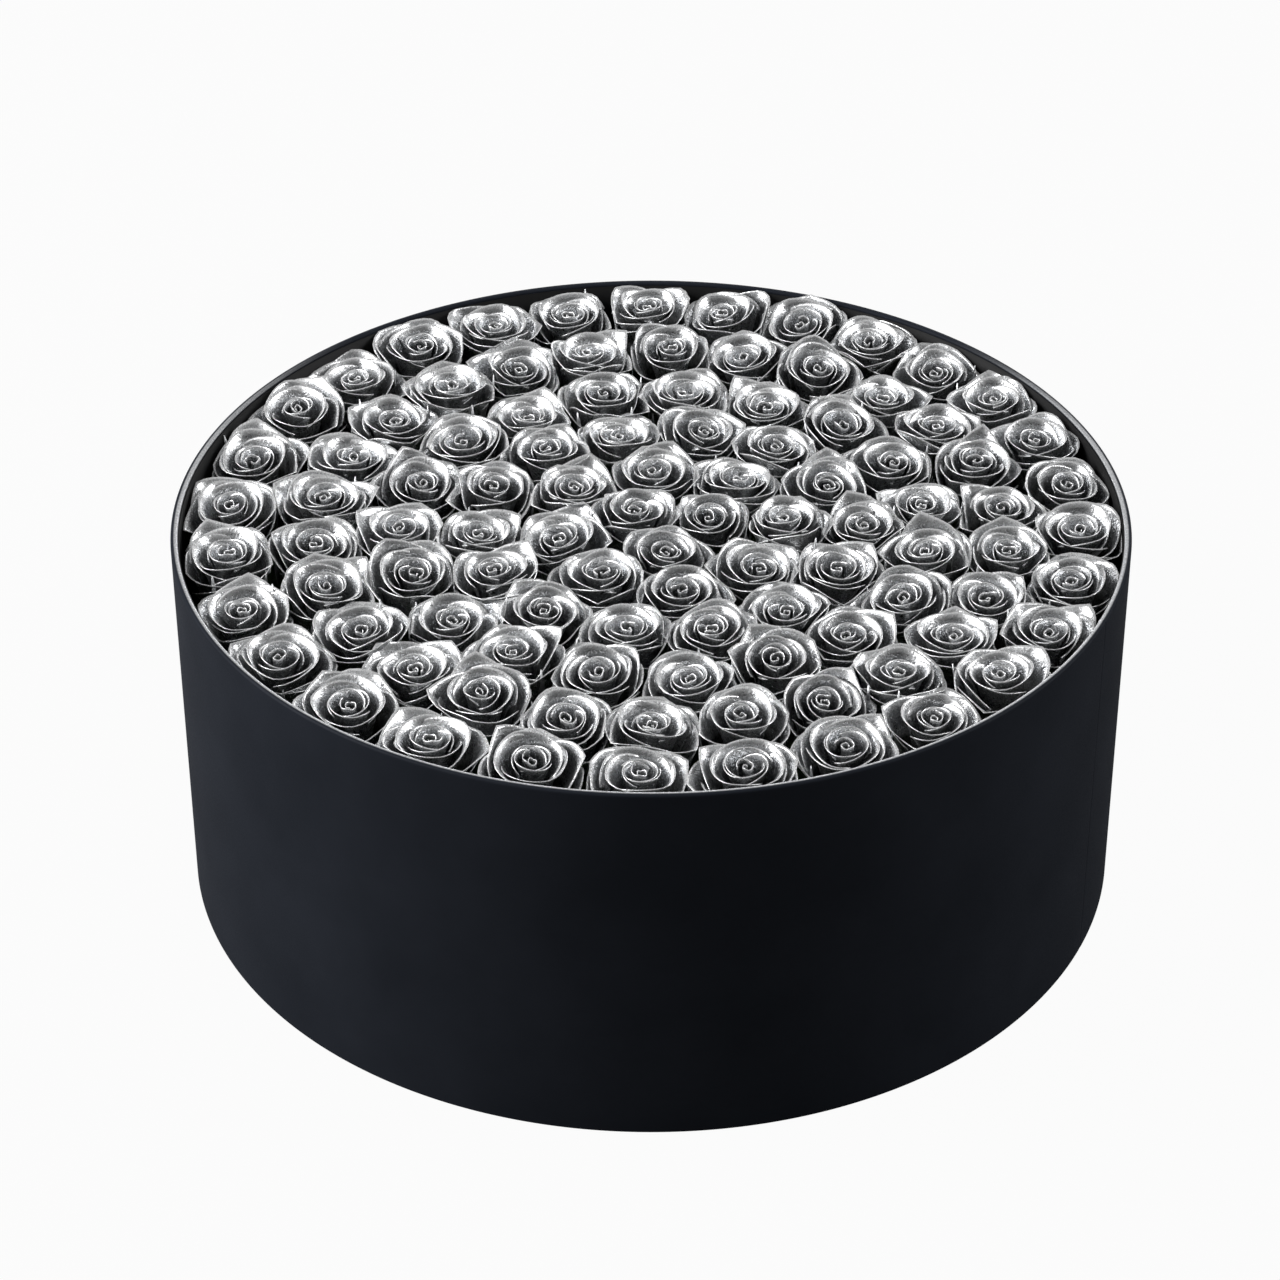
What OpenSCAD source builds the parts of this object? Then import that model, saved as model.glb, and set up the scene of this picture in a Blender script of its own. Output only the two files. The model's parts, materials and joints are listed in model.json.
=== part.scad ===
// Round flower box: a paper-covered board box with a lift-out tub of foam,
// packed wall to wall with rose heads in rings. Millimetres, +Z up, and the
// origin is the centre of the underside.

/* [Box] */
// Outside diameter of the wrapped box
box_d = 460; // [300:5:640]
// Height from the table to the rim
box_h = 193; // [160:1:260]
// Thickness of the wall board
wall_t = 2.6; // [2:0.1:4]
// Thickness of the base board
base_t = 3; // [2:0.5:5]
// Radius of the rounded rim edges of the wall board
rim_round = 0.9; // [0.3:0.1:0.9]

/* [Paper] */
// Thickness of the covering and lining papers
paper_t = 0.35; // [0.2:0.05:0.6]
// Thickness of a glue line between two glued layers
glue_t = 0.1; // [0.05:0.01:0.15]
// How far the wrap turns down inside the rim
turn_in = 18; // [8:1:30]
// How far the wrap turns under the base
turn_under = 15; // [8:1:30]
// How far the lining stops below the rim
lining_drop = 1.6; // [1:0.1:6]
// Width of the open butt seam in the wrap
seam_w = 0.6; // [0.3:0.1:1.5]
// Direction of the seam, in degrees from +X
seam_turn = -24.4; // [-180:0.1:180]
// Distance from the base paper's edge to the outside of the box
base_paper_inset = 1.5; // [0.5:0.5:6]

/* [Tub and foam] */
// Wall and floor thickness of the lift-out tub
tub_t = 1.2; // [0.8:0.1:2]
// How far the tub's rim stops below the box rim
tub_drop = 70.5; // [62:0.5:80]
// Radius of the tub's rolled rim
bead_r = 1.6; // [1.2:0.1:2.4]
// Running clearance between the tub's rim and the lining
tub_clear = 1.2; // [0.6:0.1:3]
// Height of the tub's floor above the box floor paper
seat_gap = 0.2; // [0.1:0.1:0.4]
// How far the foam stops below the tub's rim
foam_drop = 11.75; // [4:0.25:20]
// Length of an uncut foam brick, along Y
brick_l = 230; // [180:5:260]
// Width of an uncut foam brick, along X
brick_w = 80; // [60:5:110]
// Joint between neighbouring bricks
brick_gap = 0.4; // [0.2:0.1:0.8]
// Clearance between the foam and the tub wall
foam_clear = 0.4; // [0.2:0.1:0.8]

/* [Roses] */
// Widest rose head
rose_d = 39.5; // [30:0.5:48]
// Height of a rose head above its calyx
head_h = 36; // [28:1:42]
// How far the tallest petals stop below the rim
head_drop = 3; // [0:0.5:20]
// How far heads are set higher or lower than their neighbours
head_stagger = 1.5; // [0:0.1:2]
// Smallest gap left between two heads
head_gap = 0.5; // [0.3:0.1:2]
// Gap between the heads and the lining
wall_gap = 1.5; // [1:0.1:6]
// Height of the calyx under a head
calyx_h = 9; // [6:0.5:14]
// Radius of the calyx at its widest
calyx_r = 5.2; // [4:0.1:7]
// Radius of a stem
stem_r = 2.25; // [1.5:0.05:3]
// How deep a stem is pushed into the foam
stem_depth = 45; // [20:1:60]
// Clearance of a stem in its hole in the foam
stem_clear = 0.1; // [0.05:0.01:0.2]
// Gap between one layer of petals and the next, as a share of the head's radius
layer_gap = 0.02; // [0.018:0.001:0.04]

/* [Ring layout] */
// Roses in each ring, from the middle outwards
ring_count = [3, 8, 14, 19, 26, 29]; // [1:1:40]
// Turn of each ring, in degrees
ring_turn = [24, 6.4, 1.1, 9.4, 5.5, 5.9]; // [0:0.1:360]
// How far each ring's centre sits towards +X
ring_shift_x = [13, 9, 6, 7, 5, 0]; // [-15:1:15]
// How far each ring's centre sits towards +Y
ring_shift_y = [-2, -5, -5, -5, -2, 0]; // [-15:1:15]
// Distance between the heads of the middle ring
middle_pitch = 36; // [30:0.5:44]
// How much the rings open out towards the wall (1 is evenly spaced)
ring_spread = 1.08; // [1:0.01:1.3]
// How far the rim ring's roses crowd together on one side, in degrees
rim_crowd = 4.7; // [0:0.1:6]
// Direction that they crowd away from, in degrees
rim_crowd_turn = 27.6; // [0:0.1:360]
// Distance at which two heads start to push each other aside
settle_pitch = 38; // [28:0.5:46]
// How many times the heads are nudged apart
settle_steps = 12; // [0:1:20]

/* [Hidden] */
ring_names = ["middle", "second", "third", "fourth", "fifth", "rim"];
rings = len(ring_names);
$fn = 64;

paper_black = [0.06, 0.065, 0.08];
board_grey = [0.42, 0.4, 0.37];
tub_black = [0.03, 0.03, 0.035];
foam_green = [0.16, 0.22, 0.14];
stem_green = [0.22, 0.3, 0.16];
rose_silver = [0.72, 0.73, 0.75];

// Box radii, from the outside in
box_r = box_d / 2;
board_out_r = box_r - paper_t - glue_t;
board_in_r = board_out_r - wall_t;
turn_in_r = board_in_r - glue_t - paper_t;
lining_r = turn_in_r - glue_t - paper_t;

// Box levels, from the table up
under_z = paper_t + glue_t;
board_z = under_z + paper_t + glue_t;
base_top_z = board_z + base_t;
floor_z = base_top_z + glue_t + paper_t;
board_top_z = box_h - paper_t - glue_t;

// Tub and foam
tub_z = floor_z + seat_gap;
tub_h = box_h - tub_drop - tub_z;
tub_r = lining_r - tub_clear - bead_r + tub_t / 2;
tub_in_r = tub_r - tub_t;
foam_r = tub_in_r - foam_clear;
foam_z = tub_z + tub_t;
foam_h = tub_z + tub_h - foam_drop - foam_z;
foam_top_z = foam_z + foam_h;

// Rose levels
head_z = box_h - head_drop - head_stagger - head_h;
stem_z = foam_top_z - stem_depth;
stem_hole_r = stem_r + stem_clear;

// Where the roses stand: rings that open out, then heads that push apart
head_room_r = lining_r - wall_gap;
rim_ring_r = head_room_r - rose_d / 2;
middle_ring_r = middle_pitch / 2 / sin(180 / ring_count[0]);
function ring_r(k) =
    middle_ring_r + (rim_ring_r - middle_ring_r) * pow(k / (rings - 1), ring_spread);
function crowd(k, a) = k == rings - 1 ? rim_crowd * cos(a + rim_crowd_turn) : 0;
function on_ring(k, a) =
    [ring_shift_x[k], ring_shift_y[k]] + ring_r(k) * [cos(a + crowd(k, a)), sin(a + crowd(k, a))];
function drawn_up() =
    [for (k = [0:rings - 1], i = [0:ring_count[k] - 1]) on_ring(k, ring_turn[k] + i * 360 / ring_count[k])];

function sum(v, i = 0) = i == len(v) ? [0, 0] : v[i] + sum(v, i + 1);
function shove(p, q) =
    let (d = norm(p - q))
    d < 0.01 || d > settle_pitch ? [0, 0] : (p - q) * (settle_pitch - d) / d / 4;
function inside(p) = norm(p) > rim_ring_r ? p * rim_ring_r / norm(p) : p;
function settled(v, steps) =
    steps == 0 ? v : settled([for (p = v) inside(p + sum([for (q = v) shove(p, q)]))], steps - 1);

roses = settled(drawn_up(), settle_steps);
function nearest(p) = min([for (q = roses) if (norm(p - q) > 0.01) norm(p - q)]);
function head_r(p) = min(rose_d / 2, (nearest(p) - head_gap) / 2, head_room_r - norm(p));
function stagger(i) = head_stagger * sin(137 * i);
function first_in(k) = k == 0 ? 0 : first_in(k - 1) + ring_count[k - 1];

// A strip of board or paper seen end on, with its two top edges rounded
module strip(r0, r1, z0, z1, edge) {
    translate([r0, z0]) square([r1 - r0, z1 - edge - z0]);
    translate([r0 + edge, z1 - edge - 0.01]) square([r1 - r0 - 2 * edge, edge + 0.01]);
    intersection() {
        translate([r0, z1 - edge]) square([r1 - r0, edge]);
        for (r = [r0 + edge, r1 - edge]) translate([r, z1 - edge]) circle(r = edge);
    }
}

module wall_board() {
    color(board_grey) rotate_extrude() strip(board_in_r, board_out_r, board_z, board_top_z, rim_round);
}

module wrap_profile() {
    // Over the rim: the strip outside the board, less the board and its glue line
    difference() {
        strip(turn_in_r, box_r, under_z, box_h, rim_round + glue_t + paper_t);
        strip(board_in_r - glue_t, board_out_r + glue_t, under_z + paper_t, board_top_z + glue_t,
            rim_round + glue_t);
        translate([turn_in_r - 1, 0]) square([board_in_r - turn_in_r + 1, box_h - turn_in]);
    }
    // Under the base
    translate([box_r - turn_under, under_z]) square([turn_under, paper_t]);
}

module wall_wrap() {
    color(paper_black) difference() {
        rotate_extrude() wrap_profile();
        // The butt seam, from under the base to the end of the turn-in
        rotate(seam_turn) translate([box_r - turn_under - 1, -seam_w / 2, -1])
            cube([turn_under + 2, seam_w, box_h + 2]);
    }
}

module wall_lining() {
    lap_z = box_h - turn_in - glue_t;
    top_z = box_h - lining_drop;
    wide_r = board_in_r - glue_t;
    narrow_r = turn_in_r - glue_t;
    color(paper_black) rotate_extrude() polygon([
        [lining_r, base_top_z + glue_t],
        [wide_r, base_top_z + glue_t],
        [wide_r, lap_z],
        [narrow_r, lap_z],
        [narrow_r, top_z],
        [lining_r, top_z]
    ]);
}

module disc(r, z, t) {
    translate([0, 0, z]) cylinder(r = r, h = t);
}

module base_board() {
    color(board_grey) disc(board_in_r - glue_t, board_z, base_t);
}

module base_paper() {
    color(paper_black) disc(box_r - base_paper_inset, 0, paper_t);
}

module floor_paper() {
    color(paper_black) disc(lining_r - glue_t, base_top_z + glue_t, paper_t);
}

// Flat-floored tub with a rolled rim
module liner_tub() {
    bead_x = tub_r - tub_t / 2;
    color(tub_black) translate([0, 0, tub_z]) rotate_extrude() {
        square([tub_r, tub_t]);
        translate([tub_in_r, 0]) square([tub_t, tub_h - bead_r]);
        translate([bead_x, tub_h - bead_r]) circle(r = bead_r);
    }
}

// Foam bricks laid side by side and trimmed to the round of the tub
module foam_bricks() {
    columns = ceil(foam_r / brick_w);
    rows = ceil(foam_r / brick_l);
    color(foam_green) for (c = [-columns:columns - 1], r = [-rows:rows - 1])
        foam_brick(c * brick_w, r * brick_l);
}

module foam_brick(x, y) {
    size = [brick_w - brick_gap, brick_l - brick_gap];
    reach = norm(size) / 2 + stem_hole_r;
    middle = [x + brick_w / 2, y + brick_l / 2];
    if (norm([max(min(abs(x), abs(x + brick_w)), 0), max(min(abs(y), abs(y + brick_l)), 0)]) < foam_r)
        difference() {
            intersection() {
                disc(foam_r, foam_z, foam_h);
                translate([x + brick_gap / 2, y + brick_gap / 2, foam_z]) cube([size.x, size.y, foam_h]);
            }
            for (p = roses) if (norm(p - middle) < reach)
                translate([p.x, p.y, stem_z]) cylinder(r = stem_hole_r, h = stem_depth + 1);
        }
}

// Half width of a rose head at height t (0 to 1), for a head of radius 1
function swell(t) = lookup(t, [[0, 0.36], [0.12, 0.62], [0.3, 0.88], [0.6, 1], [1, 0.94]]);
swell_steps = [0.12, 0.3, 0.6];
// One side of a petal layer from height t0 to t1, at a share s of the head's radius
function side(s, t0, t1) =
    [for (t = concat([t0], [for (m = swell_steps) if (m > t0 && m < t1) m], [t1])) [s * swell(t), t]];
function upside_down(v) = [for (i = [len(v) - 1:-1:0]) v[i]];

// A cup of petals: outer share s, wall share w, floor at t0, lip at t1
module petal_cup(r, s, w, t0, t1) {
    floor_t = 0.07;
    points = concat([[0, t0]], side(s, t0, t1), upside_down(side(s - w, t0 + floor_t, t1)),
        [[0, t0 + floor_t]]);
    rotate_extrude() polygon([for (p = points) [p.x * r, p.y * head_h]]);
}

petal_w = 0.15;
layer_floor = 0.07;
function layer_s(k) = 1 - k * (petal_w + layer_gap);
function layer_t(k) = k * layer_floor;
layer_top = [1, 0.98, 0.96];
heart_top = 0.92;

// Puts its children at every rose of ring k, at the foot of the head
module at_roses(k) {
    for (i = [first_in(k):first_in(k) + ring_count[k] - 1]) {
        $rose_r = head_r(roses[i]);
        $foot_z = head_z + stagger(i);
        translate([roses[i].x, roses[i].y, $foot_z]) children();
    }
}

module ring_stems(k) {
    color(stem_green) at_roses(k) {
        drop = $foot_z - calyx_h - stem_z;
        translate([0, 0, -calyx_h - drop]) cylinder(r = stem_r, h = drop);
    }
}

module ring_calyxes(k) {
    color(stem_green) at_roses(k) rotate_extrude() polygon([
        [0, -calyx_h],
        [stem_r, -calyx_h],
        [calyx_r, -calyx_h * 0.7],
        [calyx_r, -calyx_h * 0.3],
        [swell(0) * $rose_r - 0.3, 0],
        [0, 0]
    ]);
}

module ring_petals(k, layer) {
    color(rose_silver) at_roses(k)
        petal_cup($rose_r, layer_s(layer), petal_w, layer_t(layer), layer_top[layer]);
}

// The tight bud in the middle of the rose, with a blunt tip
module ring_hearts(k) {
    s = layer_s(3);
    t = layer_t(3);
    color(rose_silver) at_roses(k) rotate_extrude() polygon([
        for (p = concat([[0, t]], side(s, t, 0.78), [[s * 0.8, 0.88], [s * 0.35, heart_top], [0, heart_top]]))
            [p.x * $rose_r, p.y * head_h]
    ]);
}

wall_board();
wall_wrap();
wall_lining();
base_board();
base_paper();
floor_paper();
liner_tub();
foam_bricks();
for (k = [0:rings - 1]) {
    ring_stems(k);
    ring_calyxes(k);
    ring_petals(k, 0);
    ring_petals(k, 1);
    ring_petals(k, 2);
    ring_hearts(k);
}
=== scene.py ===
"""Looks of a round flower box: a paper-covered board box packed with silver-painted roses.

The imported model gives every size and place. The box keeps its boards, its base paper and its
tub, and the covering, the lining and everything on the roses are worked out here as smooth
surfaces. Metres, +Z up, the underside on z = 0.
"""

import json
import logging
import math
from dataclasses import dataclass, field
from enum import Enum

import bpy
import numpy as np
from bpy.types import Material, Node, NodeSocket, NodeTree, Object
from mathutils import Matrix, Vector

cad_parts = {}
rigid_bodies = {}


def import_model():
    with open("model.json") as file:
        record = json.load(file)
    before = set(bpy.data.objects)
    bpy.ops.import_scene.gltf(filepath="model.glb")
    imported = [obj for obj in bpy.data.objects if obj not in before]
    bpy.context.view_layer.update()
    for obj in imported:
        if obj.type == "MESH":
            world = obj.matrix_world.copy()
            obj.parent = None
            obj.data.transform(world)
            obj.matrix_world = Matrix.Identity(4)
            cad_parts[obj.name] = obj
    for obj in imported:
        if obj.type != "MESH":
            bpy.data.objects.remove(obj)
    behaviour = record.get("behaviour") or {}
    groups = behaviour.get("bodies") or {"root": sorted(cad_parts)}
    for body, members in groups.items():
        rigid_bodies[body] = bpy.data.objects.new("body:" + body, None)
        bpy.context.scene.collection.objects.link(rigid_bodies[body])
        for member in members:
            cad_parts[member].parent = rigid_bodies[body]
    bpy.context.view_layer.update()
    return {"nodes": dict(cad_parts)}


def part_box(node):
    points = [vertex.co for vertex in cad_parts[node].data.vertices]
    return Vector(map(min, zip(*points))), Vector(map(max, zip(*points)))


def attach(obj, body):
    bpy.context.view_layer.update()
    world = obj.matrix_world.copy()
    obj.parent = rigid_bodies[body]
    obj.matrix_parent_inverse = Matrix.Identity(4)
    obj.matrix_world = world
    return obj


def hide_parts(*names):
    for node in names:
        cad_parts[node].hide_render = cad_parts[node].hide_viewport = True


LOG = logging.getLogger("flower_box")
MM = 0.001
GOLDEN_TURN = 2.39996  # the golden angle, in radians
THIRD_TURN = 2 * math.pi / 3
SPRAY_REACH = (0.37, 0.83)  # heights on a head, as shares, where the sprayed paint begins and is full
FACING = (0.0, -0.10)  # slope by which every head looks to the front
LEAN_POINT = 0.9  # height on a head, as a share, about which it leans
BACK_RISE = 3.0 * MM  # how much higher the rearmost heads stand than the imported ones
TURN_IN_INSET = 3.5 * MM  # from the wrap's outer face to the turned-in paper's inner face
LINING_INSET = 3.95 * MM  # from the wrap's outer face to the lining's inner face
HEAD_GAP = 0.6 * MM  # kept free between the heads and the lining
BOX_BODY = "box"
ROSE_BODY = "arrangement"

Array = np.ndarray
Pair = tuple[float, float]
Triple = tuple[float, float, float]


class Ring(Enum):
    """The rings of roses, from the middle of the box outwards."""

    MIDDLE = "middle"
    SECOND = "second"
    THIRD = "third"
    FOURTH = "fourth"
    FIFTH = "fifth"
    RIM = "rim"


class Layer(Enum):
    """The layers of petals of one rose, from outside to inside."""

    OUTER = "outer"
    MIDDLE = "middle"
    INNER = "inner"


# ---------------------------------------------------------------------------
# Surfaces
# ---------------------------------------------------------------------------


@dataclass
class Surface:
    """Points, four-sided faces and the values that finishes read.

    Attributes:
        points: (n, 3) places in metres.
        faces: (m, 4) point numbers, anticlockwise seen from outside.
        values: one number per point for each named value.
        uv: (n, 2) place on the piece's own map.
    """

    points: Array
    faces: Array
    values: dict[str, Array] = field(default_factory=dict)
    uv: Array | None = None

    def build(self, name: str, material: Material) -> Object:
        """Puts the surface into a smooth mesh object at the origin.

        Args:
            name: the piece's name.
            material: its finish.

        Returns:
            The new object.
        """
        mesh = bpy.data.meshes.new(name)
        count = len(self.faces)
        mesh.vertices.add(len(self.points))
        mesh.vertices.foreach_set("co", self.points.astype(np.float32).ravel())
        mesh.loops.add(count * 4)
        mesh.loops.foreach_set("vertex_index", self.faces.astype(np.int32).ravel())
        mesh.polygons.add(count)
        mesh.polygons.foreach_set("loop_start", np.arange(0, count * 4, 4, dtype=np.int32))
        mesh.polygons.foreach_set("use_smooth", np.ones(count, dtype=bool))
        for key, value in self.values.items():
            attribute = mesh.attributes.new(key, "FLOAT", "POINT")
            attribute.data.foreach_set("value", value.astype(np.float32).ravel())
        if self.uv is not None:
            layer = mesh.uv_layers.new(name="own_map")
            corners = self.uv[self.faces.ravel()]
            layer.data.foreach_set("uv", corners.astype(np.float32).ravel())
        mesh.update(calc_edges=True)
        mesh.materials.append(material)
        piece = bpy.data.objects.new(name, mesh)
        bpy.context.scene.collection.objects.link(piece)
        return piece


def joined(parts: list[Surface]) -> Surface:
    """Several surfaces as one, with the first one's named values.

    Args:
        parts: surfaces that all hold the same named values.

    Returns:
        One surface.
    """
    starts = np.cumsum([0] + [len(p.points) for p in parts[:-1]])
    faces = np.concatenate([p.faces + s for p, s in zip(parts, starts)])
    values = {k: np.concatenate([p.values[k].ravel() for p in parts]) for k in parts[0].values}
    uv = None if parts[0].uv is None else np.concatenate([p.uv for p in parts])
    return Surface(np.concatenate([p.points for p in parts]), faces, values, uv)


def sheet_normals(points: Array) -> Array:
    """Unit normals of a stack of grids: the cross product of its two directions.

    Args:
        points: (pieces, across, up, 3).

    Returns:
        (pieces, across, up, 3) unit vectors.
    """
    normal = np.cross(np.gradient(points, axis=1), np.gradient(points, axis=2))
    return normal / np.maximum(np.linalg.norm(normal, axis=-1, keepdims=True), 1e-12)


def grid_faces(across: int, up: int) -> Array:
    """Faces of one grid of across by up points, numbered with up running fastest."""
    first = (np.arange(across - 1)[:, None] * up + np.arange(up - 1)[None, :]).ravel()
    return np.stack([first, first + up, first + up + 1, first + 1], axis=1)


def grid_border(across: int, up: int) -> Array:
    """Point numbers round the edge of one grid, anticlockwise seen from its front."""
    number = np.arange(across * up).reshape(across, up)
    return np.concatenate([number[:-1, 0], number[-1, :-1], number[:0:-1, -1], number[0, :0:-1]])


def round_points(radius: Array, angle: Array, height: Array) -> Array:
    """Points (radius cos angle, radius sin angle, height), in the shape that fits all three."""
    return np.stack(np.broadcast_arrays(radius * np.cos(angle), radius * np.sin(angle), height), axis=-1)


def shell(points: Array, thick: Array | float, values: dict[str, Array], uv: tuple[Array, Array]) -> Surface:
    """Closed thin sheets: each grid moved half its thickness to either side and joined round.

    Args:
        points: (pieces, across, up, 3) middle surface.
        thick: thickness in metres, of a shape that fits (pieces, across, up).
        values: named values, of shapes that fit it too.
        uv: the two coordinates of its own map, likewise.

    Returns:
        One surface that holds every piece.
    """
    pieces, across, up, _ = points.shape
    size = across * up
    half = sheet_normals(points) * (np.broadcast_to(thick, points.shape[:-1])[..., None] / 2)
    both = np.stack([points + half, points - half], axis=1).reshape(-1, 3)
    front = grid_faces(across, up)
    back = front[:, ::-1] + size
    edge = grid_border(across, up)
    after = np.roll(edge, -1)
    rim = np.stack([after, edge, edge + size, after + size], axis=1)
    one = np.concatenate([front, back, rim])
    faces = (one[None] + (np.arange(pieces) * 2 * size)[:, None, None]).reshape(-1, 4)

    def doubled(value: Array) -> Array:
        """A value for the points of both sides."""
        whole = np.broadcast_to(value, points.shape[:-1]).reshape(pieces, 1, size)
        return np.repeat(whole, 2, axis=1).ravel()

    own_map = np.stack([doubled(part) for part in uv], axis=-1)
    return Surface(both, faces, {k: doubled(v) for k, v in values.items()}, own_map)


def bezier(ends: Array, t: Array) -> Array:
    """A cubic curve: four guide points weighted by the Bernstein shares of t.

    Args:
        ends: (..., 4, 2) guide points.
        t: (up,) from 0 to 1.

    Returns:
        (..., up, 2).
    """
    share = np.stack([(1 - t) ** 3, 3 * (1 - t) ** 2 * t, 3 * (1 - t) * t**2, t**3])
    return np.einsum("...kc,ku->...uc", ends, share)


def step_up(x: Array, low: float, high: float) -> Array:
    """0 below low, 1 above high, and an S curve between them."""
    t = np.clip((x - low) / (high - low), 0, 1)
    return t * t * (3 - 2 * t)


def capped_tubes(points: Array) -> Surface:
    """Joins rings of points into tubes and closes both ends with strips of faces.

    Args:
        points: (tubes, rings, sides, 3), rings from bottom to top, an even number of sides.

    Returns:
        The tubes.
    """
    tubes, rings, sides, _ = points.shape
    i = np.arange(rings - 1)[:, None] * sides
    j = np.arange(sides)[None, :]
    after = (j + 1) % sides
    skin = np.stack([i + j, i + after, i + sides + after, i + sides + j], axis=-1).reshape(-1, 4)
    k = np.arange(sides // 2 - 1)
    cap = np.stack([k, k + 1, sides - 2 - k, sides - 1 - k], axis=1)
    one = np.concatenate([skin, cap + (rings - 1) * sides, cap[:, ::-1]])
    faces = (one[None] + (np.arange(tubes) * rings * sides)[:, None, None]).reshape(-1, 4)
    return Surface(points.reshape(-1, 3), faces)


def revolve(profile: Array, angles: Array) -> tuple[Array, Array]:
    """Carries a closed profile round the box's axis.

    Each point is (radius cos a, radius sin a, z), for every profile point and angle a.

    Args:
        profile: (n, 2) radius and height, a loop that runs anticlockwise with radius to the right.
        angles: (m,) in radians, once round without the last one.

    Returns:
        Points and faces.
    """
    n, m = len(profile), len(angles)
    points = round_points(profile[:, 0], angles[:, None], profile[:, 1])
    i = np.arange(m)[:, None]
    j = np.arange(n)[None, :]
    here, there = i * n, ((i + 1) % m) * n
    after = (j + 1) % n
    faces = np.stack([here + j, there + j, there + after, here + after], axis=-1).reshape(-1, 4)
    return points.reshape(-1, 3), faces


# ---------------------------------------------------------------------------
# Finishes
# ---------------------------------------------------------------------------


NOISE_RANGE = (0.3, 0.7)  # where nearly all values of soft noise lie


class Nodes:
    """A short way to write a node tree."""

    def __init__(self, tree: NodeTree) -> None:
        """Keeps the tree that nodes are added to."""
        self.tree = tree

    def add(self, kind: str, inputs: dict | None = None, **settings: object) -> Node:
        """Adds a node, sets it up and feeds its inputs.

        Args:
            kind: the node's type name.
            inputs: input name or number to a value or an output socket.
            **settings: properties of the node.

        Returns:
            The node.
        """
        node = self.tree.nodes.new(kind)
        for key, value in settings.items():
            setattr(node, key, value)
        for key, value in (inputs or {}).items():
            if isinstance(value, NodeSocket):
                self.tree.links.new(value, node.inputs[key])
            else:
                node.inputs[key].default_value = value
        return node

    def feed(self, node: Node, name: str, value: NodeSocket) -> None:
        """Links a result to one of a node's inputs."""
        self.tree.links.new(value, node.inputs[name])

    def place(self) -> NodeSocket:
        """The place on the finished object, in metres."""
        return self.add("ShaderNodeTexCoord").outputs["Object"]

    def own(self, name: str) -> NodeSocket:
        """The piece's own value of that name."""
        return self.add("ShaderNodeAttribute", attribute_name=name).outputs["Fac"]

    def stretched(self, place: NodeSocket, scale: Triple) -> NodeSocket:
        """A place times a factor for each direction."""
        return self.add("ShaderNodeMapping", {"Vector": place, "Scale": scale}).outputs[0]

    def maths(self, operation: str, a: object, b: object = 0.0, clamp: bool = False) -> NodeSocket:
        """One arithmetic node's result.

        Args:
            operation: the Math node's operation.
            a: first number or socket.
            b: second number or socket.
            clamp: keeps the result from 0 to 1.

        Returns:
            The result's socket.
        """
        return self.add("ShaderNodeMath", {0: a, 1: b}, operation=operation, use_clamp=clamp).outputs[0]

    def plus(self, a: object, b: object, share: float) -> NodeSocket:
        """a and a share of b."""
        return self.maths("ADD", a, self.maths("MULTIPLY", b, share))

    def noise(self, place: NodeSocket, scale: object, detail: float = 2.0) -> NodeSocket:
        """Noise from 0 to 1 at a place.

        Args:
            place: coordinates.
            scale: features per metre.
            detail: octaves.

        Returns:
            The value's socket.
        """
        settings = {"Vector": place, "Scale": scale, "Detail": detail}
        return self.add("ShaderNodeTexNoise", settings).outputs["Fac"]

    def spread(self, value: NodeSocket, low: float, high: float, to: Pair = (0.0, 1.0)) -> NodeSocket:
        """Maps low..high to a new range, held at its ends.

        Args:
            value: what is mapped.
            low: goes to to[0].
            high: goes to to[1].
            to: the new range.

        Returns:
            The result's socket.
        """
        return self.add(
            "ShaderNodeMapRange",
            {"Value": value, "From Min": low, "From Max": high, "To Min": to[0], "To Max": to[1]},
        ).outputs["Result"]

    def blend(self, share: object, a: object, b: object) -> NodeSocket:
        """A colour between two colours.

        Args:
            share: 0 gives a, 1 gives b.
            a: colour or socket.
            b: colour or socket.

        Returns:
            The colour's socket.
        """
        return self.add("ShaderNodeMix", {0: share, 6: a, 7: b}, data_type="RGBA").outputs[2]

    def relief(self, surface: Node, height: NodeSocket, strength: float, depth: float) -> None:
        """Gives a surface a relief.

        Args:
            surface: its Principled node.
            height: the relief's pattern.
            strength: from 0 to 1.
            depth: in metres.
        """
        settings = {"Height": height, "Strength": strength, "Distance": depth}
        self.feed(surface, "Normal", self.add("ShaderNodeBump", settings).outputs[0])


def effect_group(name: str, scale_name: str, scale: float) -> tuple[Nodes, Node]:
    """An empty shader node group that reads a place and a scale.

    Args:
        name: the group's name.
        scale_name: name of the scale.
        scale: its usual value.

    Returns:
        A writer for the group and its input node.
    """
    group = bpy.data.node_groups.new(name, "ShaderNodeTree")
    group.interface.new_socket("Place", in_out="INPUT", socket_type="NodeSocketVector")
    socket = group.interface.new_socket(scale_name, in_out="INPUT", socket_type="NodeSocketFloat")
    socket.default_value = scale
    n = Nodes(group)
    return n, n.add("NodeGroupInput")


def give_out(n: Nodes, results: dict[str, NodeSocket]) -> NodeTree:
    """Gives a group its number outputs.

    Args:
        n: the group's writer.
        results: name and result of each output.

    Returns:
        The finished group.
    """
    for key in results:
        n.tree.interface.new_socket(key, in_out="OUTPUT", socket_type="NodeSocketFloat")
    out = n.add("NodeGroupOutput")
    for key, result in results.items():
        n.feed(out, key, result)
    return n.tree


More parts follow.
